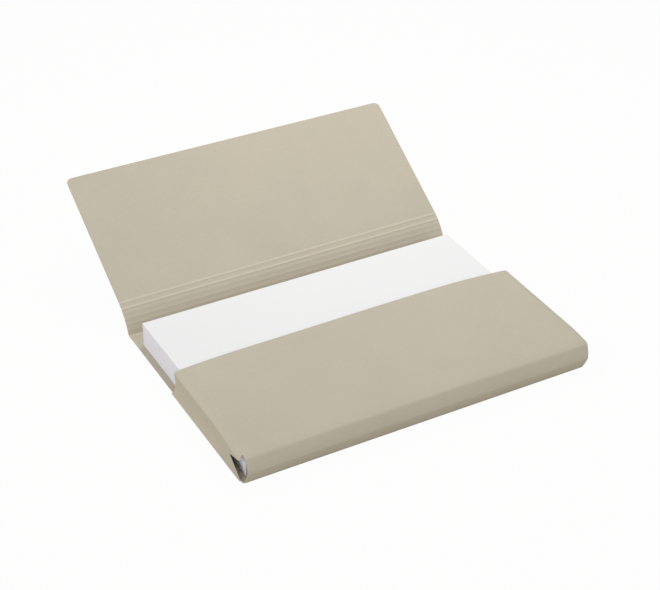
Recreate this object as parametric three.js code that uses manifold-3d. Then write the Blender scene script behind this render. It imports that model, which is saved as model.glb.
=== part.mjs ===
// Gusseted card pocket folder, lying open with a stack of paper in it.
// One die-cut sheet of card is scored, folded and glued: base, creased spine, closing flap,
// creased front band, front panel, and a gusset at each end with a glue tab under the base.
// Millimetres. +X runs along the folder, +Y from the pocket to the flap, +Z up.
// The origin is the middle of the base's underside.
import * as THREE from 'three';
import { mergeVertices } from 'three/addons/utils/BufferGeometryUtils.js';
import Module from 'manifold-3d';

const wasm = await Module();
wasm.setup();

// Card
const card = 0.45;
const seatGap = 0.2;
const degree = Math.PI / 180;

// Paper stack, and the room left round it on the base
const paperLength = 330;
const paperDepth = 210;
const paperHeight = 24.4;
const paperLeftMargin = 6.3;
const paperRightMargin = 10.7;
const paperFrontMargin = 7.4;
const paperBackMargin = 20.6;

// Base and spine
const baseLength = paperLeftMargin + paperLength + paperRightMargin;
const baseDepth = paperFrontMargin + paperDepth + paperBackMargin;
const scorePitch = 5.3;
const spinePanels = 6;
const spineFootAngle = 67;
const beadHeight = 0.26;
const beadHalfWidth = 0.85;

// Flap
const flapDepth = 140;
const flapAngle = 30.5;
const flapCornerRadius = 9;
const foldGap = 0.3;

// Front band: two strips that lean out to a crease half way up
const bandLowerHeight = 12.5;
const bandUpperHeight = 11.5;
const bandBulge = 4.2;
const bandLeanIn = 0.8;
const bandShoulder = 9;
const bandEndMargin = 1.7;
const lowerStripMiddle = { rise: 0.45, out: 0.52 };
const upperStripMiddle = { rise: 0.4, out: 0.69 };

// Front panel
const panelLift = 0.35;
const panelCrown = 0.7;
const mouthY = 20;
const mouthEndSetback = 3.8;
const mouthBowLength = 75;
const mouthFoldLap = 0.6;

// Gussets: both lean the same way, because the panel has slid a little along the base
const gussetStandOff = 1.2;
const gussetHeight = 24;
const gussetBow = 2.7;
const gussetFootSlip = 4;
const leftGussetLean = 1.5;
const rightGussetLean = 3.8;
const foldShoulder = 6;
const gussetSection = [
  { rise: 0.1, sink: 0.62 },
  { rise: 0.27, sink: 1 },
  { rise: 0.5, sink: 0.95 },
  { rise: 0.76, sink: 0.45 },
  { rise: 1, sink: 0 },
];
const tabWidth = 16;
const tabFrontMargin = 9;

// Corner openings, seen from the side
const notchApexInset = 19;
const notchApexHeight = 18;
const notchFootInset = 4.5;
const notchTipInset = 3;
const notchTipHeight = 21.5;

const halfLength = baseLength / 2;
const frontY = -baseDepth / 2;
const backY = baseDepth / 2;
const panelZ = card + seatGap + paperHeight + panelLift + card;
const aboveAll = panelZ + 10;
const belowAll = -4 * card;

const point = (x, y) => new THREE.Vector2(x, y);
const heading = (angle) => point(Math.cos(angle * degree), Math.sin(angle * degree));

// Solids and meshes

// Closed solid from a three.js geometry
function solid(geometry) {
  const bare = geometry.index ? geometry.toNonIndexed() : geometry.clone();
  bare.deleteAttribute('normal');
  bare.deleteAttribute('uv');
  const merged = mergeVertices(bare, 1e-4);
  return new wasm.Manifold(new wasm.Mesh({
    numProp: 3,
    vertProperties: new Float32Array(merged.attributes.position.array),
    triVerts: new Uint32Array(merged.index.array),
  }));
}

// Three.js geometry from a closed solid
function geometryOf(body) {
  const mesh = body.getMesh();
  const positions = new Float32Array(mesh.numVert * 3);
  for (let i = 0; i < mesh.numVert; i += 1) {
    for (let axis = 0; axis < 3; axis += 1) {
      positions[3 * i + axis] = mesh.vertProperties[mesh.numProp * i + axis];
    }
  }
  const geometry = new THREE.BufferGeometry();
  geometry.setAttribute('position', new THREE.BufferAttribute(positions, 3));
  geometry.setIndex(new THREE.BufferAttribute(new Uint32Array(mesh.triVerts), 1));
  geometry.computeVertexNormals();
  return geometry;
}

// Outline extruded straight up its own normal
function prism(outline, length) {
  const shape = new THREE.Shape(outline);
  return new THREE.ExtrudeGeometry(shape, { depth: length, bevelEnabled: false, curveSegments: 6 });
}

// Outline of (y, z) points extruded along X between two places
function alongX(outline, from, to) {
  const geometry = prism(outline, to - from);
  geometry.applyMatrix4(new THREE.Matrix4().makeBasis(
    new THREE.Vector3(0, 1, 0),
    new THREE.Vector3(0, 0, 1),
    new THREE.Vector3(1, 0, 0),
  ));
  geometry.translate(from, 0, 0);
  return solid(geometry);
}

// Outline of (x, z) points extruded along Y between two places
function alongY(outline, from, to) {
  const geometry = prism(outline, to - from);
  geometry.applyMatrix4(new THREE.Matrix4().makeBasis(
    new THREE.Vector3(1, 0, 0),
    new THREE.Vector3(0, 0, 1),
    new THREE.Vector3(0, -1, 0),
  ));
  geometry.translate(0, to, 0);
  return solid(geometry);
}

// Outline of (x, y) points extruded along Z between two heights
function alongZ(outline, from, to) {
  const geometry = prism(outline, to - from);
  geometry.translate(0, 0, from);
  return solid(geometry);
}

// Sideways step from each point of an open line, to the left of its run
function leftNormals(line) {
  return line.map((_, i) => {
    const before = line[Math.max(i - 1, 0)];
    const after = line[Math.min(i + 1, line.length - 1)];
    const run = after.clone().sub(before).normalize();
    return point(-run.y, run.x);
  });
}

// The same line moved to its left by a distance
function offsetLine(line, distance) {
  const normals = leftNormals(line);
  return line.map((p, i) => p.clone().addScaledVector(normals[i], distance));
}

// Closed outline of a sheet that lies on the left of a line
function sheetOutline(line, thickness) {
  return [...line, ...offsetLine(line, thickness).reverse()];
}

// Points of a smooth curve through a few others
function smooth(points, divisions) {
  return new THREE.SplineCurve(points).getPoints(divisions);
}

// Spine and flap

// Underside of the spine, one point at each score, from the base's back edge to the flap's fold
function spineScores() {
  const scores = [point(backY, 0)];
  for (let i = 0; i < spinePanels; i += 1) {
    const angle = spineFootAngle - (spineFootAngle - flapAngle) * i / spinePanels;
    scores.push(scores[i].clone().addScaledVector(heading(angle), scorePitch));
  }
  return scores;
}

// A bead raised by the scoring rule, along a straight run of card
function bead(centre, run) {
  const rise = point(-run.y, run.x);
  return [-1, -0.5, 0, 0.5, 1].map((share) => centre.clone()
    .addScaledVector(run, share * beadHalfWidth)
    .addScaledVector(rise, beadHeight * (1 - share * share)));
}

// Underside of the card from the base's front fold to just short of the flap's fold
function baseAndSpineLine() {
  const scores = spineScores();
  const line = [point(frontY, 0), scores[0]];
  for (let i = 1; i < spinePanels; i += 1) {
    const run = scores[i + 1].clone().sub(scores[i - 1]).normalize();
    line.push(...bead(scores[i], run));
  }
  const end = scores[spinePanels];
  const lastRun = end.clone().sub(scores[spinePanels - 1]).normalize();
  line.push(end.clone().addScaledVector(lastRun, -foldGap));
  return line;
}

// Section of the flap: its own score bead beside the fold, then flat card
function flapLine() {
  const fold = spineScores()[spinePanels];
  const run = heading(flapAngle);
  const start = fold.clone().addScaledVector(run, foldGap);
  const beadCentre = start.clone().addScaledVector(run, beadHalfWidth);
  const freeEdge = fold.clone().addScaledVector(run, flapDepth);
  return [...bead(beadCentre, run), freeEdge];
}

// Block that trims the flap's two free corners to an arc, in the flap's own plane
function flapCornerTrim() {
  const trim = new THREE.Shape();
  const side = halfLength;
  const free = flapDepth;
  const r = flapCornerRadius;
  const spare = 3 * r;
  trim.moveTo(side + spare, free - r);
  trim.lineTo(side, free - r);
  trim.absarc(side - r, free - r, r, 0, Math.PI / 2, false);
  trim.lineTo(side - r, free + spare);
  trim.lineTo(side + spare, free + spare);
  trim.closePath();
  const right = new THREE.ExtrudeGeometry(trim, { depth: spare, bevelEnabled: false, curveSegments: 10 });
  right.translate(0, 0, -spare / 2);
  const left = right.clone();
  left.rotateY(Math.PI);
  const fold = spineScores()[spinePanels];
  return [right, left].map((geometry) => {
    geometry.rotateX(flapAngle * degree);
    geometry.translate(0, fold.x, fold.y);
    return solid(geometry);
  });
}

function makeFlap() {
  const sheet = alongX(sheetOutline(flapLine(), card), -halfLength, halfLength);
  const [right, left] = flapCornerTrim();
  return sheet.subtract(right).subtract(left);
}

// Front band, panel and gussets

// Outer face of the front band and panel as (y, z), from the base fold to behind the mouth
function frontLine() {
  const crease = point(frontY - bandBulge, bandLowerHeight);
  const top = point(frontY + bandLeanIn, bandLowerHeight + bandUpperHeight);
  const rounded = new THREE.QuadraticBezierCurve(
    top,
    point(top.x + 1.2, panelZ - 0.3),
    point(top.x + bandShoulder, panelZ + panelCrown),
  );
  const shoulder = rounded.getPoints(6);
  return [
    point(frontY, 0),
    point(frontY - lowerStripMiddle.out * bandBulge, lowerStripMiddle.rise * bandLowerHeight),
    crease,
    point(
      frontY - upperStripMiddle.out * bandBulge,
      bandLowerHeight + upperStripMiddle.rise * bandUpperHeight,
    ),
    ...shoulder,
    point(mouthY + mouthEndSetback, panelZ + panelCrown),
  ];
}

// Outer face of a gusset as (x, z), from its foot fold to its top fold, for one side (1 or -1)
function gussetLine(side, lean) {
  const foot = side * (halfLength + gussetStandOff);
  const top = foot + lean;
  const section = gussetSection.map(({ rise, sink }) => point(
    foot + (top - foot) * rise - side * sink * gussetBow,
    rise * gussetHeight,
  ));
  return smooth([point(foot, -card), ...section], 12);
}

// Outer face of both gussets and the panel as (x, z), from the left foot over to the right foot
function acrossLine() {
  const left = gussetLine(-1, leftGussetLean);
  const right = gussetLine(1, rightGussetLean).reverse();
  const leftTop = left[left.length - 1];
  const rightTop = right[0];
  const shoulder = (corner, side) => new THREE.QuadraticBezierCurve(
    corner,
    point(corner.x - side * 0.22 * foldShoulder, panelZ - 0.05),
    point(corner.x - side * foldShoulder, panelZ),
  ).getPoints(5).slice(1);
  const crown = [-0.6, -0.3, 0, 0.3, 0.6].map((share) => point(
    share * halfLength,
    panelZ + panelCrown * (1 - share * share),
  ));
  return [...left, ...shoulder(leftTop, -1), ...crown, ...shoulder(rightTop, 1).reverse(), ...right];
}

// Outline of what lies under a line; the room inside the card runs on through the bottom
function closedBelow(line, inset) {
  const bottom = inset > 0 ? belowAll : -card;
  const first = line[0];
  const last = line[line.length - 1];
  return [...line, point(last.x, bottom), point(first.x, bottom)];
}

// Room inside or outside the front band and panel, as a block over the whole length
function frontBlock(inset) {
  const line = offsetLine(frontLine(), -inset);
  return alongX(closedBelow(line, inset), -baseLength, baseLength);
}

// Room inside or outside the gussets and panel, as a block over the whole depth
function acrossBlock(inset) {
  const line = offsetLine(acrossLine(), -inset);
  return alongY(closedBelow(line, inset), -baseDepth, baseDepth);
}

// Everything behind the mouth: its edge is straight in the middle and falls back at both ends
function behindMouth() {
  const straight = halfLength - mouthBowLength;
  const reach = 2 * halfLength;
  const end = halfLength + rightGussetLean;
  const corner = mouthY - mouthEndSetback;
  const bow = (side) => new THREE.QuadraticBezierCurve(
    point(side * straight, mouthY),
    point(side * (straight + mouthBowLength * 0.6), mouthY),
    point(side * end, corner),
  ).getPoints(8);
  const edge = [
    ...bow(-1).reverse(),
    ...bow(1),
    point(reach, corner),
    point(reach, reach),
    point(-reach, reach),
    point(-reach, corner),
  ];
  return alongZ(edge, gussetHeight, aboveAll);
}

// Everything behind the rear edge of the gussets, which leans forwards towards the top
function behindGussets() {
  const outline = [
    point(mouthY + mouthFoldLap, belowAll),
    point(2 * baseDepth, belowAll),
    point(2 * baseDepth, gussetHeight),
    point(mouthY - mouthEndSetback, gussetHeight),
  ];
  const reach = 2 * halfLength;
  const inner = halfLength - gussetFootSlip - gussetBow;
  return [alongX(outline, -reach, -inner), alongX(outline, inner, reach)];
}

// Side opening at a front corner: a notch whose point looks back along the gusset
function cornerNotch(side) {
  const outside = frontY - 3 * bandBulge;
  const outline = [
    point(frontY + notchApexInset, notchApexHeight),
    point(frontY + notchTipInset, notchTipHeight),
    point(frontY + notchTipInset, aboveAll),
    point(outside, aboveAll),
    point(outside, belowAll),
    point(frontY + notchFootInset, belowAll),
    point(frontY + notchFootInset, 0),
  ];
  const inner = side * (halfLength - bandEndMargin);
  const outer = side * baseLength;
  return alongX(outline, Math.min(inner, outer), Math.max(inner, outer));
}

// Glue tab of one gusset, folded in under the base, with its ends cut on a slant
function glueTab(side) {
  const slant = 0.6 * tabWidth;
  const fold = side * (halfLength + gussetStandOff);
  const inner = side * (halfLength - tabWidth);
  const outline = [
    point(fold, frontY + tabFrontMargin),
    point(inner, frontY + tabFrontMargin + slant),
    point(inner, mouthY - slant),
    point(fold, mouthY),
  ];
  return alongZ(outline, -card, 0);
}

// What the front band doesn't have: card below the base in front of the tabs
function underFront() {
  const outline = [
    point(-baseLength, -baseDepth),
    point(baseLength, -baseDepth),
    point(baseLength, frontY + tabFrontMargin),
    point(-baseLength, frontY + tabFrontMargin),
  ];
  return alongZ(outline, belowAll, 0);
}

function makePocket() {
  const roof = frontBlock(0).intersect(acrossBlock(0));
  const room = frontBlock(card).intersect(acrossBlock(card));
  let shell = roof.subtract(room);
  const cutters = [
    behindMouth(),
    ...behindGussets(),
    cornerNotch(-1),
    cornerNotch(1),
    underFront(),
  ];
  for (const cutter of cutters) {
    shell = shell.subtract(cutter);
  }
  const sheet = alongX(sheetOutline(baseAndSpineLine(), card), -halfLength, halfLength);
  return shell.add(glueTab(-1)).add(glueTab(1)).add(sheet);
}

function makePaper() {
  const left = -halfLength + paperLeftMargin;
  const back = backY - paperBackMargin;
  const outline = [
    point(left, back - paperDepth),
    point(left + paperLength, back - paperDepth),
    point(left + paperLength, back),
    point(left, back),
  ];
  const bottom = card + seatGap;
  return alongZ(outline, bottom, bottom + paperHeight);
}

const cardMaterial = () => new THREE.MeshStandardMaterial({ color: '#bfb7a2', roughness: 0.85, metalness: 0 });
const paperMaterial = () => new THREE.MeshStandardMaterial({ color: '#efeeee', roughness: 0.8, metalness: 0 });

function piece(name, body, material) {
  const mesh = new THREE.Mesh(geometryOf(body), material);
  mesh.name = name;
  return mesh;
}

const folder = new THREE.Group();
folder.add(piece('pocket', makePocket(), cardMaterial()));
folder.add(piece('flap', makeFlap(), cardMaterial()));
folder.add(piece('paper_stack', makePaper(), paperMaterial()));

export default folder;
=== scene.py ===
"""A card pocket folder lying open, with a stack of white paper in its pocket.

Sizes in the classes are millimetres in the part's own frame: X along the folder,
Y from the pocket to the flap, Z up, with the middle of the base's underside at the
origin. Meshes are written in metres.
"""
import logging
import math
from dataclasses import dataclass, field
from enum import Enum

import bmesh
import bpy
import numpy as np
from mathutils import Matrix, Vector


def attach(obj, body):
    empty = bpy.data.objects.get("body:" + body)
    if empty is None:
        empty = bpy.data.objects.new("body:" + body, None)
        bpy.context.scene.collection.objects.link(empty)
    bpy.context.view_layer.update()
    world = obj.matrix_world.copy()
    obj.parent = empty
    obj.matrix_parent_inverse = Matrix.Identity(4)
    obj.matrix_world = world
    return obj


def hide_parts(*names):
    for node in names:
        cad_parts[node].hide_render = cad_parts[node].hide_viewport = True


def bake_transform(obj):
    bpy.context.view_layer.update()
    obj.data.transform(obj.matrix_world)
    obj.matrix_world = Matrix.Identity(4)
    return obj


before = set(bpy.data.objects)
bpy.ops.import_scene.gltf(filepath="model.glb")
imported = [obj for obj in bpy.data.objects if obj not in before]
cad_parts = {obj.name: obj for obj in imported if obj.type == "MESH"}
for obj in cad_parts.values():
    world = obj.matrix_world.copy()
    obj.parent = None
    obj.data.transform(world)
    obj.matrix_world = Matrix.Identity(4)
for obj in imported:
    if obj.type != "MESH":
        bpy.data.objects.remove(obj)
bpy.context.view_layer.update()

LOG = logging.getLogger("pocket_folder")
MM = 0.001
WELD_REACH = 0.002
NOT_ON_SPINE = -1000.0
WHITE = (1.0, 1.0, 1.0, 1.0)


class Body(Enum):
    """The bodies that pieces ride on."""

    POCKET = "pocket"
    FLAP = "flap"


class Slot(Enum):
    """The record's material slots."""

    CARD = "card"
    PAPER = "paper"


class Side(Enum):
    """The folder's two ends."""

    LEFT = -1
    RIGHT = 1


@dataclass(frozen=True)
class Base:
    """The folder's base, which every other part is placed by, and the card's thickness."""

    length: float = 347.0
    depth: float = 238.0
    card: float = 0.45

    @property
    def half(self) -> float:
        """Half its length."""
        return self.length / 2

    @property
    def front(self) -> float:
        """Y of its front fold; its back edge lies as far behind the middle."""
        return -self.depth / 2


# Node helpers


class NodeBench:
    """Lays out and links the nodes of one tree."""

    def __init__(self, tree: bpy.types.NodeTree) -> None:
        """Start on a tree.

        Args:
            tree: The node tree to fill.
        """
        self.tree = tree

    def put(self, kind: str, settings: dict | None = None, **inputs: object) -> bpy.types.Node:
        """Add a node.

        Args:
            kind: Blender's name of the node type.
            settings: Properties of the node itself.
            inputs: Values or output sockets for its inputs, named in lower case with
                underscores, or in_0, in_1 and so on by position.

        Returns:
            The new node.
        """
        node = self.tree.nodes.new(kind)
        for name, value in (settings or {}).items():
            setattr(node, name, value)
        for name, value in inputs.items():
            self.feed(self.socket(node, name), value)
        return node

    @staticmethod
    def socket(node: bpy.types.Node, name: str) -> bpy.types.NodeSocket:
        """Find an input socket.

        Args:
            node: The node that has it.
            name: Its name in lower case with underscores, or in_ and its position.

        Returns:
            The input socket.
        """
        if name.startswith("in_"):
            return node.inputs[int(name[3:])]
        for candidate in node.inputs:
            if candidate.enabled and candidate.name.lower().replace(" ", "_") == name:
                return candidate
        raise KeyError(f"{node.bl_idname} has no input {name}")

    def feed(self, target: bpy.types.NodeSocket, value: object) -> None:
        """Link a socket, or write its value.

        Args:
            target: The input socket.
            value: An output socket, or a plain value.
        """
        if isinstance(value, bpy.types.NodeSocket):
            self.tree.links.new(value, target)
        else:
            target.default_value = value

    def math(
        self, operation: str, first: object, second: object = 0.0, clamp: bool = False
    ) -> bpy.types.NodeSocket:
        """Add one step of arithmetic.

        Args:
            operation: Blender's name of the operation.
            first: First number or socket.
            second: Second number or socket.
            clamp: True to keep the result between 0 and 1.

        Returns:
            The result's socket.
        """
        settings = {"operation": operation, "use_clamp": clamp}
        return self.put("ShaderNodeMath", settings, in_0=first, in_1=second).outputs[0]

    def mix(self, factor: object, first: object, second: object) -> bpy.types.NodeSocket:
        """Mix two colours.

        Args:
            factor: Share of the second colour.
            first: First colour or its socket.
            second: Second colour or its socket.

        Returns:
            The mixed colour's socket.
        """
        settings = {"data_type": "RGBA"}
        return self.put("ShaderNodeMix", settings, in_0=factor, in_6=first, in_7=second).outputs[2]

    def noise(self, place: object, size: float, **settings: float) -> bpy.types.NodeSocket:
        """Add a noise.

        Args:
            place: The socket of its coordinates.
            size: Size of its largest grains in millimetres.
            settings: Its detail and roughness.

        Returns:
            The socket of the noise's value.
        """
        return self.put("ShaderNodeTexNoise", vector=place, scale=1 / (size * MM), **settings).outputs[0]

    def remap(
        self,
        value: bpy.types.NodeSocket,
        source: tuple[float, float] = (0.0, 1.0),
        target: tuple[float, float] = (0.0, 1.0),
        kind: str = "LINEAR",
    ) -> bpy.types.NodeSocket:
        """Stretch one range of values over another and stop at its ends.

        Args:
            value: The value's socket.
            source: The range that it comes from.
            target: The range that it goes to.
            kind: Blender's name of the way between them.

        Returns:
            The result's socket.
        """
        ends = {"from_min": source[0], "from_max": source[1], "to_min": target[0], "to_max": target[1]}
        settings = {"interpolation_type": kind}
        return self.put("ShaderNodeMapRange", settings, value=value, **ends).outputs[0]

    def seen_itself(self) -> bpy.types.NodeSocket:
        """Tell the rays that show a thing itself, also in a reflection or through glass.

        Returns:
            The socket of 1 for camera, glossy and transmission rays, and 0 for all others.
        """
        rays = self.put("ShaderNodeLightPath").outputs
        seen = self.math("MAXIMUM", rays["Is Camera Ray"], rays["Is Glossy Ray"])
        return self.math("MAXIMUM", seen, rays["Is Transmission Ray"])

    def give_out(
        self, geometry: bpy.types.NodeSocket, material: bpy.types.NodeSocket
    ) -> bpy.types.NodeTree:
        """End a geometry tree: make its copies real, set their material and give them out.

        Args:
            geometry: The socket of what has been made.
            material: The socket of its material.

        Returns:
            The finished tree.
        """
        real = self.put("GeometryNodeRealizeInstances", geometry=geometry)
        coloured = self.put("GeometryNodeSetMaterial", geometry=real.outputs[0], material=material)
        self.put("NodeGroupOutput", geometry=coloured.outputs[0])
        return self.tree


def blank_material(name: str) -> tuple[bpy.types.Material, NodeBench]:
    """Make a material without nodes.

    Args:
        name: The material's name.

    Returns:
        The material, and a bench for its nodes.
    """
    made = bpy.data.materials.new(name)
    made.use_nodes = True
    made.node_tree.nodes.clear()
    return made, NodeBench(made.node_tree)


def blank_tree(name: str, inputs: dict[str, str]) -> NodeBench:
    """Make a geometry node tree that has its sockets and no nodes.

    Args:
        name: The tree's name.
        inputs: The kind of each input by its name.

    Returns:
        A bench for its nodes.
    """
    tree = bpy.data.node_groups.new(name, "GeometryNodeTree")
    tree.interface.new_socket("Geometry", in_out="OUTPUT", socket_type="NodeSocketGeometry")
    for label, kind in inputs.items():
        tree.interface.new_socket(label, in_out="INPUT", socket_type=f"NodeSocket{kind}")
    return NodeBench(tree)


# Finishes


@dataclass(frozen=True)
class CardFinish:
    """Uncoated buff card: matte, a little fibrous, with painted light on the spine: paler on the score
    ridges, partly real crease whitening and partly painted highlight, and paler towards the spine's foot
    as painted bounce light.
    """

    name: str = "buff_card"
    tone: tuple[float, float, float] = (0.545, 0.497, 0.396)
    dark_share: float = 0.955
    light_share: float = 1.035
    # Painted light: the card is mixed towards this paler colour by the score attribute, which holds
    # painted highlights on the score ridges (with some real crease whitening) and painted bounce light
    # towards the spine's foot.
    score_light_share: float = 1.2
    score_light_strength: float = 0.8
    fleck_share: float = 0.9
    fleck_strength: float = 0.55
    fleck_range: tuple[float, float] = (0.66, 0.76)
    cloud_part: float = 0.45
    fibre_part: float = 0.55
    tone_range: tuple[float, float] = (0.34, 0.66)
    cloud_size: float = 55.0
    fibre_size: float = 1.4
    fibre_stretch: tuple[float, float, float] = (0.35, 1.0, 1.0)
    fleck_size: float = 0.9
    roughness: float = 0.82
    rough_spread: tuple[float, float] = (-0.05, 0.07)
    relief: float = 0.05
    relief_strength: float = 0.5
    specular: float = 0.25

    def tinted(self, share: float) -> tuple[float, float, float, float]:
        """Return the card's colour times a share."""
        return (*[min(1.0, channel * share) for channel in self.tone], 1.0)

    def material(self) -> bpy.types.Material:
        """Make the card's material.

        Returns:
            A material that reads Object coordinates and the sheet's own score attribute.
        """
        made, bench = blank_material(self.name)
        place = bench.put("ShaderNodeTexCoord").outputs["Object"]
        drawn = bench.put("ShaderNodeMapping", vector=place, scale=self.fibre_stretch).outputs[0]
        clouds = bench.noise(place, self.cloud_size, detail=3.0)
        fibres = bench.noise(drawn, self.fibre_size, detail=5.0, roughness=0.62)
        tooth = bench.noise(drawn, self.fibre_size / 2, detail=4.0)
        flecks = bench.noise(place, self.fleck_size, detail=2.0, roughness=0.4)

        cloudy = bench.math("MULTIPLY", clouds, self.cloud_part)
        shade = bench.math("ADD", cloudy, bench.math("MULTIPLY", fibres, self.fibre_part))
        shade = bench.remap(shade, self.tone_range)
        tone = bench.mix(shade, self.tinted(self.dark_share), self.tinted(self.light_share))
        few = bench.remap(flecks, self.fleck_range, (0.0, self.fleck_strength), "SMOOTHSTEP")
        flecked = bench.mix(few, tone, self.tinted(self.fleck_share))
        # Painted light: paler on the score ridges (painted highlight with some real crease whitening) and
        # towards the spine's foot (painted bounce light).
        score = bench.put("ShaderNodeAttribute", {"attribute_name": "score"}).outputs["Fac"]
        scores_lit_and_whitened = bench.math("MULTIPLY", score, self.score_light_strength, clamp=True)
        colour = bench.mix(scores_lit_and_whitened, flecked, self.tinted(self.score_light_share))

        bump = bench.put(
            "ShaderNodeBump", strength=self.relief_strength, distance=self.relief * MM, height=tooth
        )
        roughest = tuple(self.roughness + step for step in self.rough_spread)
        shader = bench.put(
            "ShaderNodeBsdfPrincipled",
            base_color=colour,
            roughness=bench.remap(fibres, target=roughest),
            specular_ior_level=self.specular,
            normal=bump.outputs[0],
        )
        bench.put("ShaderNodeOutputMaterial", surface=shader.outputs[0])
        return made


@dataclass(frozen=True)
class PaperFinish:
    """White office paper: plain on top, faintly lined and cooler on the cut edges."""

    name: str = "white_paper"
    face: tuple[float, float, float, float] = (0.875, 0.872, 0.872, 1.0)
    edge: tuple[float, float, float, float] = (0.89, 0.87, 0.93, 1.0)
    edge_dark: tuple[float, float, float, float] = (0.79, 0.77, 0.83, 1.0)
    edge_range: tuple[float, float] = (0.35, 0.7)
    lines_across: float = 18.0
    line_height: float = 0.4
    roughness: float = 0.78
    grain_size: float = 1.1
    relief: float = 0.02
    relief_strength: float = 0.25
    specular: float = 0.25

    def material(self) -> bpy.types.Material:
        """Make the paper's material.

        Returns:
            A material that tells the faces from the cut edges by the surface's own normal.
        """
        made, bench = blank_material(self.name)
        place = bench.put("ShaderNodeTexCoord").outputs["Object"]
        lines_scale = (self.lines_across, self.lines_across, 1 / (self.line_height * MM))
        layers = bench.put("ShaderNodeMapping", vector=place, scale=lines_scale).outputs[0]
        lines = bench.put("ShaderNodeTexNoise", vector=layers, scale=1.0, detail=3.0, roughness=0.7)
        edge = bench.mix(bench.remap(lines.outputs[0], self.edge_range), self.edge, self.edge_dark)

        normal = bench.put("ShaderNodeNewGeometry").outputs["True Normal"]
        upward = bench.put("ShaderNodeSeparateXYZ", vector=normal).outputs["Z"]
        flat = bench.math("POWER", bench.math("ABSOLUTE", upward), 2.0, clamp=True)
        fine = bench.noise(place, self.grain_size, detail=4.0)
        bump = bench.put(
            "ShaderNodeBump", strength=self.relief_strength, distance=self.relief * MM, height=fine
        )
        shader = bench.put(
            "ShaderNodeBsdfPrincipled",
            base_color=bench.mix(flat, edge, self.face),
            roughness=self.roughness,
            specular_ior_level=self.specular,
            normal=bump.outputs[0],
        )
        bench.put("ShaderNodeOutputMaterial", surface=shader.outputs[0])
        return made


@dataclass(frozen=True)
class TableFinish:
    """Plain white table top, which reads as the photograph's white ground and keeps a soft shadow."""

    name: str = "white_table"
    tone: tuple[float, float, float, float] = (0.62, 0.585, 0.53, 1.0)
    own_white: float = 0.97

    def material(self) -> bpy.types.Material:
        """Make the table's material.

        Returns:
            A matte white that is lifted towards pure white for what looks straight at it.
        """
        made, bench = blank_material(self.name)
        matte = bench.put("ShaderNodeBsdfDiffuse", color=self.tone).outputs[0]
        white = bench.put("ShaderNodeEmission", color=WHITE, strength=1.0).outputs[0]
        share = bench.math("MULTIPLY", bench.seen_itself(), self.own_white)
        mix = bench.put("ShaderNodeMixShader", in_0=share, in_1=matte, in_2=white)
        bench.put("ShaderNodeOutputMaterial", surface=mix.outputs[0])
        return made


# Lines and grids


def smoothstep(value: np.ndarray | float) -> np.ndarray | float:
    """Ease a value from 0 to 1."""
    value = np.clip(value, 0.0, 1.0)
    return value * value * (3 - 2 * value)


def bezier(first: tuple, control: tuple, last: tuple, shares: np.ndarray) -> np.ndarray:
    """Points of a quadratic curve.

    Args:
        first: Where it starts.
        control: The point that it is drawn towards.
        last: Where it ends.
        shares: Places on the curve, from 0 to 1.

    Returns:
        One row for each share.
    """
    t = np.asarray(shares)[:, None]
    return (1 - t) ** 2 * np.array(first) + 2 * t * (1 - t) * np.array(control) + t**2 * np.array(last)


def through(points: list[tuple[float, float]], pieces: int) -> np.ndarray:
    """Points of a smooth curve that passes through others.

    Args:
        points: The points that it passes through.
        pieces: How many pieces it is cut into between two of them.

    Returns:
        The curve's points, the given ones among them.
    """
    p = np.array(points)
    ends = np.vstack([2 * p[0] - p[1], p, 2 * p[-1] - p[-2]])
    curve = []
    for i in range(1, len(p)):
        a, b, c, d = ends[i - 1 : i + 3]
        square = 2 * a - 5 * b + 4 * c - d
        cube = 3 * b - a - 3 * c + d
        for t in np.linspace(0, 1, pieces, endpoint=False):
            curve.append(0.5 * (2 * b + (c - a) * t + square * t**2 + cube * t**3))
    curve.append(p[-1])
    return np.array(curve)


class Quilt:
    """Collects patches of one sheet as grids of points, then joins them along shared edges."""

    def __init__(self) -> None:
        """Start with no patches."""
        self.points: list[tuple[float, float, float]] = []
        self.along: list[float] = []
        self.quads: list[tuple[int, int, int, int]] = []

    def add(self, grid: np.ndarray, along: np.ndarray | None = None) -> None:
        """Add one patch.

        Args:
            grid: Points in millimetres, as rows by columns by three.
            along: For each row, how far it lies up the spine from the base's back edge.
        """
        rows, columns = grid.shape[:2]
        start = len(self.points)
        self.points.extend(map(tuple, grid.reshape(-1, 3)))
        places = np.full(rows, NOT_ON_SPINE) if along is None else along
        self.along.extend(np.repeat(places, columns).tolist())
        for i in range(rows - 1):
            for j in range(columns - 1):
                corner = start + i * columns + j
                self.quads.append((corner, corner + 1, corner + columns + 1, corner + columns))

    def mesh(self, name: str) -> bpy.types.Mesh:
        """Join the patches to one surface whose faces look out of the card's underside.

        Args:
            name: The mesh's name.

        Returns:
            A mesh in metres with the attribute along, also in metres.
        """
        work = bmesh.new()
        layer = work.verts.layers.float.new("along")
        made = []
        for place, along in zip(self.points, self.along):
            vertex = work.verts.new([axis * MM for axis in place])
            vertex[layer] = along * MM
            made.append(vertex)
        for quad in self.quads:
            work.faces.new([made[i] for i in quad])
        bmesh.ops.remove_doubles(work, verts=work.verts, dist=WELD_REACH * MM)
        bmesh.ops.recalc_face_normals(work, faces=work.faces)
        middle = min(work.faces, key=lambda face: face.calc_center_median().length)
        if middle.normal.z > 0:
            bmesh.ops.reverse_faces(work, faces=work.faces)
        mesh = bpy.data.meshes.new(name)
        work.to_mesh(mesh)
        work.free()
        return mesh


# The paper and the folder


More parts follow.
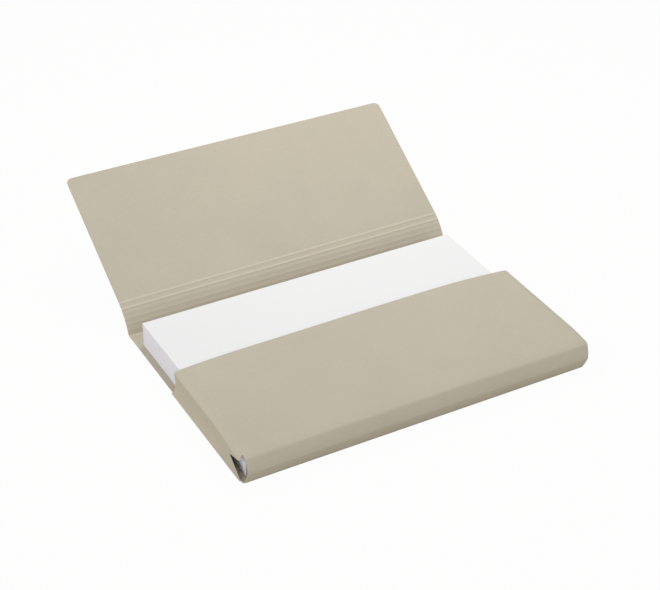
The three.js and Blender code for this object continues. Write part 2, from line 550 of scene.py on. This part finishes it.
@dataclass
class PaperStack:
    """The stack of loose sheets that lies on the base."""

    length: float = 330.0
    depth: float = 210.0
    height: float = 24.3
    left_margin: float = 6.3
    back_margin: float = 20.6
    seat: float = 0.65
    sheets: int = 240
    sheet_share: float = 0.97
    sheet_slip: float = 0.07
    bundle: int = 30
    bundle_slip: float = 0.16
    seed: int = 7

    def centre(self, base: Base) -> tuple[float, float]:
        """Find the middle of the stack.

        Args:
            base: The folder's base.

        Returns:
            Its x and y.
        """
        x = -base.half + self.left_margin + self.length / 2
        y = -base.front - self.back_margin - self.depth / 2
        return x, y

    def tree(self) -> bpy.types.NodeTree:
        """Make the node tree that lays sheet upon sheet.

        Returns:
            A tree with the sheet's sizes, the count and the slip as named inputs.
        """
        kinds = {"Sheet": "Vector", "First": "Vector", "Material": "Material"}
        kinds |= dict.fromkeys(("Pitch", "Sheet slip", "Bundle slip"), "Float")
        kinds |= dict.fromkeys(("Count", "Bundle", "Seed"), "Int")
        bench = blank_tree("sheet_stack", kinds)
        given = bench.put("NodeGroupInput").outputs
        step = bench.put("ShaderNodeCombineXYZ", z=given["Pitch"]).outputs[0]
        starts = {"count": given["Count"], "start_location": given["First"], "offset": step}
        line = bench.put("GeometryNodeMeshLine", {"mode": "OFFSET"}, **starts)
        number = bench.put("GeometryNodeInputIndex").outputs[0]
        group = bench.math("FLOOR", bench.math("DIVIDE", number, given["Bundle"]))
        slips = []
        for ident, reach, turn in ((number, given["Sheet slip"], 0), (group, given["Bundle slip"], 1)):
            back = bench.math("MULTIPLY", reach, -1.0)
            low = bench.put("ShaderNodeCombineXYZ", x=back, y=back)
            high = bench.put("ShaderNodeCombineXYZ", x=reach, y=reach)
            slips.append(
                bench.put(
                    "FunctionNodeRandomValue",
                    {"data_type": "FLOAT_VECTOR"},
                    in_0=low.outputs[0],
                    in_1=high.outputs[0],
                    id=ident,
                    seed=bench.math("ADD", given["Seed"], turn),
                ).outputs[0]
            )
        slip = bench.put("ShaderNodeVectorMath", {"operation": "ADD"}, in_0=slips[0], in_1=slips[1])
        placed = bench.put("GeometryNodeSetPosition", geometry=line.outputs[0], offset=slip.outputs[0])
        sheet = bench.put("GeometryNodeMeshCube", size=given["Sheet"]).outputs[0]
        copies = bench.put("GeometryNodeInstanceOnPoints", points=placed.outputs[0], instance=sheet)
        return bench.give_out(copies.outputs[0], given["Material"])

    def build(self, base: Base, finish: bpy.types.Material) -> bpy.types.Object:
        """Build the stack as one mesh of separate sheets.

        Args:
            base: The folder's base.
            finish: The paper's material.

        Returns:
            The stack.
        """
        pitch = self.height / self.sheets
        x, y = self.centre(base)
        inputs = {
            "Sheet": (self.length * MM, self.depth * MM, pitch * self.sheet_share * MM),
            "First": (x * MM, y * MM, (self.seat + pitch / 2) * MM),
            "Pitch": pitch * MM,
            "Count": self.sheets,
            "Bundle": self.bundle,
            "Sheet slip": self.sheet_slip * MM,
            "Bundle slip": self.bundle_slip * MM,
            "Seed": self.seed,
            "Material": finish,
        }
        stack = new_piece("loose_sheets", bpy.data.meshes.new("loose_sheets"))
        stack.data.materials.append(finish)
        run_tree(stack, self.tree(), inputs)
        return settle(stack)


@dataclass
class Spine:
    """The run of card behind the base: six panels between scores that curl up, then the flap."""

    base: Base = Base()
    pitch: float = 5.3
    panels: int = 6
    last_extra: float = 0.95
    foot_angle: float = 67.0
    flap_angle: float = 30.5
    flap_depth: float = 139.76
    corner_radius: float = 6.0
    ridge_half_width: float = 0.98
    crease_half_width: float = 0.55
    ridge_rows: tuple[float, ...] = (-1.0, -0.72, -0.45, -0.2, 0.0, 0.2, 0.45, 0.72, 1.0)
    base_fold_share: float = 0.8
    flap_fold_rows: tuple[float, ...] = (-2.6, -1.9, -1.35, 1.35, 1.9, 2.6, 3.6)
    plain_from: float = 5.0
    plain_rows: int = 22
    arc_step: int = 10
    lead_in: float = 3.0
    trace_step: float = 0.05
    base_edge: float = 2.0

    @property
    def length(self) -> float:
        """Card from the base's back edge to the flap's fold."""
        return self.pitch * self.panels

    def score(self, number: int) -> float:
        """Find a score; the panel below the flap's fold is wider than the others.

        Args:
            number: The score's number, from 1 by the base to the number of panels.

        Returns:
            Its distance from the base's back edge.
        """
        return self.pitch * number - (self.last_extra if number == self.panels - 1 else 0.0)

    def heading(self, along: np.ndarray) -> np.ndarray:
        """Direction of the card at places up the spine.

        Args:
            along: Distances from the base's back edge.

        Returns:
            Angles above the table in radians.
        """
        step = (self.foot_angle - self.flap_angle) / self.panels
        turns = [(0.0, self.foot_angle)] + [(self.score(k), -step) for k in range(1, self.panels + 1)]
        angle = np.zeros_like(along)
        for place, turn in turns:
            angle += turn * smoothstep((along - place) / (2 * self.crease_half_width) + 0.5)
        return np.radians(angle)

    def rows(self) -> np.ndarray:
        """Places of the mesh rows, dense at the scores and at the flap's fold.

        Returns:
            Distances from the base's back edge, rising.
        """
        near = np.array(self.ridge_rows) * self.ridge_half_width
        arc_from = self.length + self.flap_depth - self.corner_radius
        turned = np.radians(np.arange(self.arc_step, 91, self.arc_step))
        places = [
            near * self.base_fold_share,
            *[self.score(k) + near for k in range(1, self.panels + 1)],
            self.pitch * (np.arange(self.panels) + 0.5),
            self.length + np.array(self.flap_fold_rows),
            np.linspace(self.length + self.plain_from, arc_from, self.plain_rows),
            arc_from + self.corner_radius * np.sin(turned),
        ]
        return np.unique(np.round(np.concatenate(places), 4))

    def line(self) -> tuple[np.ndarray, np.ndarray]:
        """Follow the card's underside over its creases.

        Returns:
            The rows' (y, z) places and their distances from the base's back edge.
        """
        step = self.trace_step
        fine = np.arange(-self.lead_in, self.length + self.flap_depth + step, step)
        angle = self.heading(fine)
        between = (angle[1:] + angle[:-1]) / 2
        start = -self.base.front - self.lead_in
        y = start + np.concatenate([[0], np.cumsum(step * np.cos(between))])
        z = np.concatenate([[0], np.cumsum(step * np.sin(between))])
        rows = self.rows()
        return np.column_stack([np.interp(rows, fine, y), np.interp(rows, fine, z)]), rows

    def half_width(self, along: np.ndarray) -> np.ndarray:
        """Half the card's width at each row, less where the free corners are rounded.

        Args:
            along: Distances from the base's back edge.

        Returns:
            Half widths.
        """
        radius = self.corner_radius
        into = np.clip(along - (self.length + self.flap_depth - radius), 0, radius)
        return self.base.half - (radius - np.sqrt(radius**2 - into**2))

    def ridge_tree(self) -> bpy.types.NodeTree:
        """Make the node tree that raises a ridge on the inner face along each score, and stores a score
        attribute of painted light: paler ridges and a paler spine foot.

        Returns:
            A tree with the scores' places, sizes and wear as named inputs.
        """
        kinds = {"Geometry": "Geometry", "Material": "Material", "Count": "Int", "Deep count": "Int"}
        ridges = ("Pitch", "Last extra", "Half width", "Light ridge", "Deep ridge")
        kinds |= dict.fromkeys((*ridges, "Base edge", "Foot bounce light"), "Float")
        bench = blank_tree("score_ridges", kinds)
        given = bench.put("NodeGroupInput").outputs
        numbers = {"data_type": "FLOAT"}
        along = bench.put("GeometryNodeInputNamedAttribute", numbers, name="along").outputs[0]
        before_last = bench.math("SUBTRACT", given["Count"], 1.0)

        nearest = bench.math("ROUND", bench.math("DIVIDE", along, given["Pitch"]))
        nearest = bench.math("MINIMUM", bench.math("MAXIMUM", nearest, 1.0), given["Count"])
        compare = {"operation": "COMPARE"}
        moved = bench.put("ShaderNodeMath", compare, in_0=nearest, in_1=before_last, in_2=0.5).outputs[0]
        shift = bench.math("MULTIPLY", moved, given["Last extra"])
        place = bench.math("SUBTRACT", bench.math("MULTIPLY", nearest, given["Pitch"]), shift)
        share = bench.math("DIVIDE", bench.math("SUBTRACT", along, place), given["Half width"])
        rise = bench.math("SUBTRACT", 1.0, bench.math("MULTIPLY", share, share))
        rise = bench.math("MAXIMUM", rise, 0.0)
        first_deep = bench.math("SUBTRACT", given["Count"], given["Deep count"])
        deep = bench.math("GREATER_THAN", nearest, first_deep)
        more = bench.math("SUBTRACT", given["Deep ridge"], given["Light ridge"])
        ridge = bench.math("ADD", given["Light ridge"], bench.math("MULTIPLY", deep, more))
        height = bench.math("MULTIPLY", rise, ridge)

        # Painted bounce light: the spine is paler towards its foot and fades to nothing near the fifth
        # score.
        top = bench.math("MULTIPLY", before_last, given["Pitch"])
        foot_light = bench.math("SUBTRACT", 1.0, bench.math("DIVIDE", along, top))
        on_spine = bench.math("GREATER_THAN", along, bench.math("MULTIPLY", given["Base edge"], -1.0))
        foot_light = bench.math("MULTIPLY", foot_light, given["Foot bounce light"])
        foot_light = bench.math("MULTIPLY", foot_light, on_spine, clamp=True)
        # Score attribute: the ridge height, a painted highlight with some real crease whitening, plus the
        # painted bounce light at the foot.
        score = bench.math("ADD", bench.math("DIVIDE", height, given["Deep ridge"]), foot_light)

        normal = bench.put("GeometryNodeInputNormal").outputs[0]
        inward = bench.put("ShaderNodeVectorMath", {"operation": "SCALE"}, in_0=normal)
        bench.feed(inward.inputs["Scale"], bench.math("MULTIPLY", height, -1.0))
        sheet = given["Geometry"]
        raised = bench.put("GeometryNodeSetPosition", geometry=sheet, offset=inward.outputs[0])
        marked = bench.put(
            "GeometryNodeStoreNamedAttribute",
            {"data_type": "FLOAT", "domain": "POINT"},
            geometry=raised.outputs[0],
            name="score",
            value=score,
        )
        return bench.give_out(marked.outputs[0], given["Material"])


@dataclass
class Gusset:
    """One end wall of the pocket: it sinks inwards, and a glue tab runs in under the base."""

    side: Side
    lean: float
    stand_off: float = 1.2
    height: float = 24.0
    bow: float = 2.7
    section: tuple[tuple[float, float], ...] = (
        (0.1, 0.62),
        (0.27, 1.0),
        (0.5, 0.95),
        (0.76, 0.45),
        (1.0, 0.0),
    )
    apex_inset: float = 23.3
    apex_height: float = 16.2
    foot_inset: float = 2.2
    tab_width: float = 16.0
    tab_inset: float = 9.0
    tab_slant: float = 9.6
    tab_rows: int = 4
    wall_pieces: int = 3
    sag_reach: float = 7.0
    flare: float = 1.0
    flare_top: float = 1.5
    flare_from: float = -58.0
    flare_reach: float = 40.0

    def foot(self, base: Base) -> float:
        """X of the gusset's outer face at its foot."""
        return self.side.value * (base.half + self.stand_off)

    def top(self, base: Base) -> float:
        """X of the fold between the gusset and the panel."""
        return self.foot(base) + self.lean

    def wall(self, base: Base) -> np.ndarray:
        """Section of the outer face from the top fold down to the foot fold.

        Args:
            base: The folder's base.

        Returns:
            (x, z, sink) points: x on the flat wall, and how far the wall sinks in there.
        """
        foot = self.foot(base)
        points = [(foot, -base.card, 0.0)]
        for rise, sink in self.section:
            points.append((foot + self.lean * rise, rise * self.height, sink * self.bow))
        return through(points, self.wall_pieces)[::-1]

    def near_front(self, y: np.ndarray) -> np.ndarray:
        """Share by which the wall has straightened towards its free front edge."""
        return smoothstep((self.flare_from - y) / self.flare_reach)

    def flared(self, y: np.ndarray, z: float) -> np.ndarray:
        """Find how far the wall stands out towards its free front edge.

        Args:
            y: Places along the wall.
            z: Height.

        Returns:
            Steps along X.
        """
        heights = [0.0, self.apex_height, self.height]
        reach = np.interp(z, heights, [0.0, self.flare, self.flare_top])
        return self.side.value * reach * self.near_front(y)

    def grid(self, top_row: np.ndarray, base: Base, mouth: float) -> np.ndarray:
        """Points of the gusset and its tab, hung from the panel's end.

        Args:
            top_row: Points along the top fold, front to back.
            base: The folder's base.
            mouth: Y of the rear edge at the foot.

        Returns:
            The patch, from the top fold down the wall and in along the tab.
        """
        front = base.front
        share = (top_row[:, 1] - top_row[0, 1]) / (top_row[-1, 1] - top_row[0, 1])
        rows = [top_row]
        for x, z, sink in self.wall(base)[1:]:
            first = np.interp(
                z,
                [-base.card, 0.0, self.apex_height, self.height],
                [front + self.tab_inset, front + self.foot_inset, front + self.apex_inset, top_row[0, 1]],
            )
            last = np.interp(z, [0.0, self.height], [mouth, top_row[-1, 1]])
            sag = (self.height - top_row[:, 2]) * np.clip(1 - (self.height - z) / self.sag_reach, 0, 1)
            y = first + share * (last - first)
            sunk = self.side.value * sink * (1 - self.near_front(y))
            rows.append(np.column_stack([x - sunk + self.flared(y, z), y, z - sag]))
        fold = self.foot(base)
        inner = self.side.value * (base.half - self.tab_width)
        for step in np.linspace(0, 1, self.tab_rows + 1)[1:]:
            first = front + self.tab_inset + self.tab_slant * step
            last = mouth - self.tab_slant * step
            y = first + share * (last - first)
            x = fold + (inner - fold) * step
            rows.append(np.column_stack([np.full_like(y, x), y, np.full_like(y, -base.card)]))
        return np.array(rows)


@dataclass
class FrontPocket:
    """The creased front band, the panel over the stack, and the two gussets."""

    panel_height: float = 25.85
    crown: float = 0.7
    band_lower: float = 12.5
    band_upper: float = 11.5
    bulge: float = 4.2
    lean_in: float = 0.8
    shoulder: float = 9.0
    end_margin: float = 1.7
    fold_shoulder: float = 6.0
    mouth: float = 19.9
    mouth_setback: float = 3.9
    mouth_straight: float = 98.5
    mouth_wave: float = 0.75
    mouth_overhang: float = 4.0
    mouth_foot: float = 20.6
    inner_columns: int = 46
    panel_rows: int = 26
    gussets: tuple[Gusset, Gusset] = field(
        default_factory=lambda: (
            Gusset(Side.LEFT, 1.5),
            Gusset(Side.RIGHT, 3.8, flare=0.9, flare_top=0.0),
        )
    )
    shoulder_shares: tuple[float, ...] = (0.0, 0.2, 0.4, 0.6, 0.8, 1.0)
    end_bend: tuple[float, float] = (0.22, 0.05)
    front_bend: tuple[float, float] = (1.2, 0.3)
    upper_middle: tuple[float, float] = (0.69, 17.1)
    lower_middle: tuple[float, float] = (0.52, 5.6)
    strip_pieces: int = 3
    crease_softness: float = 0.25
    crease_rows: int = 5
    tongue_from: int = 4
    band_from: int = 3
    tongue_reach: float = 2.2
    tongue_droop: float = 2.4
    droop_from: float = -92.0
    droop_reach: float = 22.0

    def columns(self, base: Base) -> np.ndarray:
        """Follow the panel from one top fold over its crown to the other.

        Args:
            base: The folder's base.

        Returns:
            (x, z) of each column at the crown's height.
        """
        lead, drop = self.end_bend
        ends = []
        for gusset in self.gussets:
            x, side = gusset.top(base), gusset.side.value
            ends.append(
                bezier(
                    (x, gusset.height),
                    (x - side * lead * self.fold_shoulder, self.panel_height - drop),
                    (x - side * self.fold_shoulder, self.panel_height),
                    np.array(self.shoulder_shares),
                )
            )
        x = np.linspace(ends[0][-1, 0], ends[1][-1, 0], self.inner_columns)
        share = np.linspace(-1, 1, self.inner_columns)
        inner = np.column_stack([x, self.panel_height + self.crown * (1 - share**2)])
        return np.vstack([ends[0], inner[1:-1], ends[1][::-1]])

    def mouth_line(self, x: np.ndarray, half: float) -> np.ndarray:
        """Rear edge of the panel, which falls back at both ends.

        Args:
            x: Places along the folder.
            half: Half the base's length.

        Returns:
            The edge's y at each place.
        """
        reach = half + self.mouth_overhang - self.mouth_straight
        share = np.clip((np.abs(x) - self.mouth_straight) / reach, 0, None)
        return self.mouth + self.mouth_wave * np.sin(math.pi * x / half) - self.mouth_setback * share**2

    def top_patch(self, base: Base) -> np.ndarray:
        """Panel with its front shoulder.

        Args:
            base: The folder's base.

        Returns:
            The patch, front row first.
        """
        x, z = self.columns(base).T
        front = base.front + self.lean_in
        height = self.gussets[0].height
        crest = self.panel_height + self.crown
        lead, drop = self.front_bend
        bend = bezier(
            (front, height),
            (front + lead, self.panel_height - drop),
            (front + self.shoulder, crest),
            np.array(self.shoulder_shares),
        )
        edge = self.mouth_line(x, base.half)
        rows = [np.column_stack([x, np.full_like(x, y), z - (crest - up)]) for y, up in bend]
        for share in np.linspace(0, 1, self.panel_rows + 1)[1:]:
            rows.append(np.column_stack([x, bend[-1, 0] + share * (edge - bend[-1, 0]), z]))
        patch = np.array(rows)
        for gusset in self.gussets:
            self.shape_tongue(patch, gusset)
        return patch

    def shape_tongue(self, patch: np.ndarray, gusset: Gusset) -> None:
        """Flare and lower the panel's front corner over one gusset.

        Args:
            patch: The panel's points, changed in place.
            gusset: The gusset under that end.
        """
        for step in range(self.band_from):
            column = step if gusset.side is Side.LEFT else -1 - step
            share = 1 - step / self.band_from
            y = patch[:, column, 1].copy()
            near_front = smoothstep((self.droop_from - y) / self.droop_reach)
            patch[:, column, 0] += share * gusset.flared(y, gusset.height)
            patch[:, column, 2] -= share * self.tongue_droop * near_front
            patch[self.tongue_from, column, 1] -= share * self.tongue_reach

    def band_line(self, base: Base) -> np.ndarray:
        """Section of the front band from under the shoulder to the base's front fold.

        Args:
            base: The folder's base.

        Returns:
            (y, z) points, top first.
        """
        front = base.front
        height = self.band_lower + self.band_upper
        crease = (front - self.bulge, self.band_lower)
        middles = [(front - out * self.bulge, up) for out, up in (self.upper_middle, self.lower_middle)]
        upper = through([(front + self.lean_in, height), middles[0], crease], self.strip_pieces)
        lower = through([crease, middles[1], (front, 0.0)], self.strip_pieces)
        soft, sharp = self.crease_softness, 1 - self.crease_softness
        turn = bezier(
            upper[-2] * soft + upper[-1] * sharp,
            upper[-1],
            lower[1] * soft + lower[0] * sharp,
            np.linspace(0, 1, self.crease_rows),
        )
        return np.vstack([upper[:-1], turn, lower[1:]])


@dataclass
class CardFolder:
    """The die-cut card: front pocket, base, spine and flap as one folded sheet."""

    spine: Spine = field(default_factory=Spine)
    pocket: FrontPocket = field(default_factory=FrontPocket)
    light_ridge: float = 0.08
    deep_ridge: float = 0.32
    deep_count: int = 2
    # Painted bounce light: how much paler the spine is at its foot.
    foot_bounce_light: float = 0.75
    blend_reach: float = 2.6
    crisp_angle: float = 32.0
    front_rows: tuple[float, ...] = (1.0, 4.0)
    base_from: float = 12.0
    base_to: float = 4.0
    base_rows: int = 14

    def quilt(self) -> Quilt:
        """Lay out every patch of the outer face.

        Returns:
            The patches, ready to be joined.
        """
        base, pocket = self.spine.base, self.pocket
        quilt = Quilt()
        top = pocket.top_patch(base)
        last = top.shape[1] - 1
        outer, tongue = pocket.band_from, pocket.tongue_from
        quilt.add(top[:, outer : last - outer + 1])
        quilt.add(top[tongue:, : outer + 1])
        quilt.add(top[tongue:, last - outer :])
        for gusset, column in zip(pocket.gussets, (0, last)):
            quilt.add(gusset.grid(top[tongue:, column], base, pocket.mouth_foot))

        edge = top[0, outer : last - outer + 1]
        share = (edge[:, 0] - edge[0, 0]) / (edge[-1, 0] - edge[0, 0])
        quilt.add(self.band_patch(edge, share))
        quilt.add(*self.base_patch(share))
        return quilt

    def band_patch(self, edge: np.ndarray, share: np.ndarray) -> np.ndarray:
        """Front band, hung from the panel's front shoulder.

        Args:
            edge: Points along the shoulder.
            share: Places along it, from 0 to 1.

        Returns:
            The patch, top row first.
        """
        height = self.pocket.gussets[0].height
        foot = (share - 0.5) * (self.spine.base.length - 2 * self.pocket.end_margin)
        rows = []
        for y, z in self.pocket.band_line(self.spine.base):
            x = foot + (edge[:, 0] - foot) * z / height
            rows.append(np.column_stack([x, np.full_like(share, y), z * edge[:, 2] / height]))
        return np.array(rows)

    def base_patch(self, share: np.ndarray) -> tuple[np.ndarray, np.ndarray]:
        """Base, spine and flap.

        Args:
            share: Places along the folder, from 0 to 1.

        Returns:
            The patch, front row first, and each row's distance up the spine.
        """
        half, front = self.spine.base.half, self.spine.base.front
        line, along = self.spine.line()
        plain = np.linspace(front + self.base_from, -front - self.base_to, self.base_rows)
        flat = np.concatenate([front + np.array(self.front_rows), plain])
        places = np.vstack([[front, 0.0], np.column_stack([flat, np.zeros_like(flat)]), line])
        narrow = [half - self.pocket.end_margin]
        widths = np.concatenate([narrow, np.full_like(flat, half), self.spine.half_width(along)])
        rows = [
            np.column_stack([(share - 0.5) * 2 * width, np.full_like(share, y), np.full_like(share, z)])
            for (y, z), width in zip(places, widths)
        ]
        return np.array(rows), np.concatenate([np.full(len(flat) + 1, NOT_ON_SPINE), along])

    def build(self, finish: bpy.types.Material, cut_edge: bpy.types.Material) -> bpy.types.Object:
        """Build the folded sheet with its thickness.

        Args:
            finish: The card's material.
            cut_edge: The material of its cut edges.

        Returns:
            One closed sheet.
        """
        sheet = new_piece("folded_card", self.quilt().mesh("folded_card"))
        sheet.data.materials.append(finish)
        sheet.data.materials.append(cut_edge)
        sheet.data.shade_smooth()
        inputs = {
            "Pitch": self.spine.pitch * MM,
            "Last extra": self.spine.last_extra * MM,
            "Half width": self.spine.ridge_half_width * MM,
            "Light ridge": self.light_ridge * MM,
            "Deep ridge": self.deep_ridge * MM,
            "Foot bounce light": self.foot_bounce_light,
            "Base edge": self.spine.base_edge * MM,
            "Count": self.spine.panels,
            "Deep count": self.deep_count,
            "Material": finish,
        }
        run_tree(sheet, self.spine.ridge_tree(), inputs)
        wall = sheet.modifiers.new("thickness", "SOLIDIFY")
        wall.thickness = self.spine.base.card * MM
        wall.offset = -1.0
        wall.use_even_offset = True
        wall.use_quality_normals = True
        wall.material_offset_rim = 1
        sheet = settle(sheet)
        while len(sheet.data.materials) < 2:
            sheet.data.materials.append(cut_edge)
        sheet.data.set_sharp_from_angle(angle=math.radians(self.crisp_angle))
        return sheet


# Building helpers


def new_piece(name: str, mesh: bpy.types.Mesh) -> bpy.types.Object:
    """Put a mesh in the scene as an object at the origin.

    Args:
        name: The object's name.
        mesh: Its mesh.

    Returns:
        The object.
    """
    piece = bpy.data.objects.new(name, mesh)
    bpy.context.scene.collection.objects.link(piece)
    return piece


def run_tree(piece: bpy.types.Object, tree: bpy.types.NodeTree, inputs: dict[str, object]) -> None:
    """Put a node tree on an object and set its named inputs.

    Args:
        piece: The object.
        tree: The geometry node tree.
        inputs: Values by the sockets' names.
    """
    modifier = piece.modifiers.new(tree.name, "NODES")
    modifier.node_group = tree
    for item in tree.interface.items_tree:
        if item.item_type == "SOCKET" and item.in_out == "INPUT" and item.name in inputs:
            modifier[item.identifier] = inputs[item.name]


def settle(piece: bpy.types.Object) -> bpy.types.Object:
    """Turn an object's modifiers into plain mesh.

    Args:
        piece: The object.

    Returns:
        The same object, with the result as its mesh and no modifiers.
    """
    piece.update_tag()
    graph = bpy.context.evaluated_depsgraph_get()
    graph.update()
    made = bpy.data.meshes.new_from_object(
        piece.evaluated_get(graph), preserve_all_data_layers=True, depsgraph=graph
    )
    piece.modifiers.clear()
    made.name = piece.name
    piece.data = made
    return piece


# Studio


@dataclass
class Viewpoint:
    """The photograph's camera, as an orbit round the middle of the base."""

    azimuth: float = -29.618
    elevation: float = 34.172
    roll: float = 1.005
    right: float = -22.127
    up: float = 51.607
    distance: float = 1520.0
    lens: float = 89.95
    sensor: float = 36.0
    clip: tuple[float, float] = (0.05, 60.0)

    def build(self) -> bpy.types.Object:
        """Make the scene's camera.

        Returns:
            The camera.
        """
        az, el, roll = (math.radians(a) for a in (self.azimuth, self.elevation, self.roll))
        back = Vector((math.sin(az) * math.cos(el), -math.cos(az) * math.cos(el), math.sin(el)))
        level = Vector((math.cos(az), math.sin(az), 0.0))
        above = back.cross(level)
        right = math.cos(roll) * level + math.sin(roll) * above
        up = math.cos(roll) * above - math.sin(roll) * level
        place = (back * self.distance + right * self.right + up * self.up) * MM
        data = bpy.data.cameras.new("camera")
        data.sensor_fit = "HORIZONTAL"
        data.sensor_width = self.sensor
        data.lens = self.lens
        data.clip_start, data.clip_end = self.clip
        camera = bpy.data.objects.new("camera", data)
        bpy.context.scene.collection.objects.link(camera)
        turn = Matrix((right, up, back)).transposed().to_4x4()
        camera.matrix_world = Matrix.Translation(place) @ turn
        bpy.context.scene.camera = camera
        return camera


@dataclass(frozen=True)
class SoftBox:
    """One large square lamp."""

    name: str
    place: tuple[float, float, float]
    size: float
    power: float

    def build(self, aim: Vector) -> bpy.types.Object:
        """Make the lamp.

        Args:
            aim: What it points at, in metres.

        Returns:
            The lamp.
        """
        data = bpy.data.lights.new(self.name, "AREA")
        data.size = self.size
        data.energy = self.power
        lamp = bpy.data.objects.new(self.name, data)
        lamp.location = self.place
        lamp.rotation_mode = "QUATERNION"
        lamp.rotation_quaternion = (aim - Vector(self.place)).to_track_quat("-Z", "Y")
        bpy.context.scene.collection.objects.link(lamp)
        return lamp


@dataclass
class Studio:
    """Table, lamps and even surrounding light."""

    ambient: float = 0.6
    table_height: float = -0.45
    table_radius: float = 16.0
    table_sides: int = 64
    aim: tuple[float, float, float] = (0.0, 0.03, 0.0)
    lamps: tuple[SoftBox, ...] = (
        SoftBox("left", (-1.7, -0.1, 0.9), 1.2, 9.6),
        SoftBox("front", (0.2, -1.8, 0.7), 1.2, 4.6),
        SoftBox("above_flap", (0.2, 0.32, 0.62), 0.4, 1.49),
    )

    def build(self) -> None:
        """Make the table, the lamps and the surrounding light."""
        mesh = bpy.data.meshes.new("table")
        work = bmesh.new()
        bmesh.ops.create_circle(work, cap_ends=True, segments=self.table_sides, radius=self.table_radius)
        bmesh.ops.translate(work, verts=work.verts, vec=(0.0, 0.0, self.table_height * MM))
        work.to_mesh(mesh)
        work.free()
        table = new_piece("table", mesh)
        mesh.materials.append(TableFinish().material())
        for lamp in self.lamps:
            lamp.build(Vector(self.aim))
        self.surround()

    def surround(self) -> None:
        """Light the scene evenly, and show plain white behind it."""
        world = bpy.data.worlds.new("studio")
        world.use_nodes = True
        world.node_tree.nodes.clear()
        bench = NodeBench(world.node_tree)
        even = bench.put("ShaderNodeBackground", color=WHITE, strength=self.ambient).outputs[0]
        white = bench.put("ShaderNodeBackground", color=WHITE, strength=1.0).outputs[0]
        mix = bench.put("ShaderNodeMixShader", in_0=bench.seen_itself(), in_1=even, in_2=white)
        bench.put("ShaderNodeOutputWorld", surface=mix.outputs[0])
        bpy.context.scene.world = world
        bpy.context.scene.view_settings.view_transform = "Standard"


def report(piece: bpy.types.Object) -> None:
    """Log how large a finished piece's mesh is."""
    LOG.info("%s: %d vertices, %d faces", piece.name, len(piece.data.vertices), len(piece.data.polygons))


CUT_CARD = CardFinish(name="cut_card", tone=(0.66, 0.615, 0.51), fibre_size=0.7)


def main() -> None:
    """Build the folder, its paper and the studio."""
    logging.basicConfig(level=logging.INFO, format="%(name)s: %(message)s")
    Viewpoint().build()
    Studio().build()

    folder = CardFolder()
    card = folder.build(CardFinish().material(), CUT_CARD.material())
    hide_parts("pocket", "flap")
    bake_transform(card)
    report(card)

    stack = PaperStack().build(folder.spine.base, PaperFinish().material())
    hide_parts("paper_stack")
    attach(stack, Body.POCKET.value)
    report(stack)


if __name__ == "__main__":
    main()
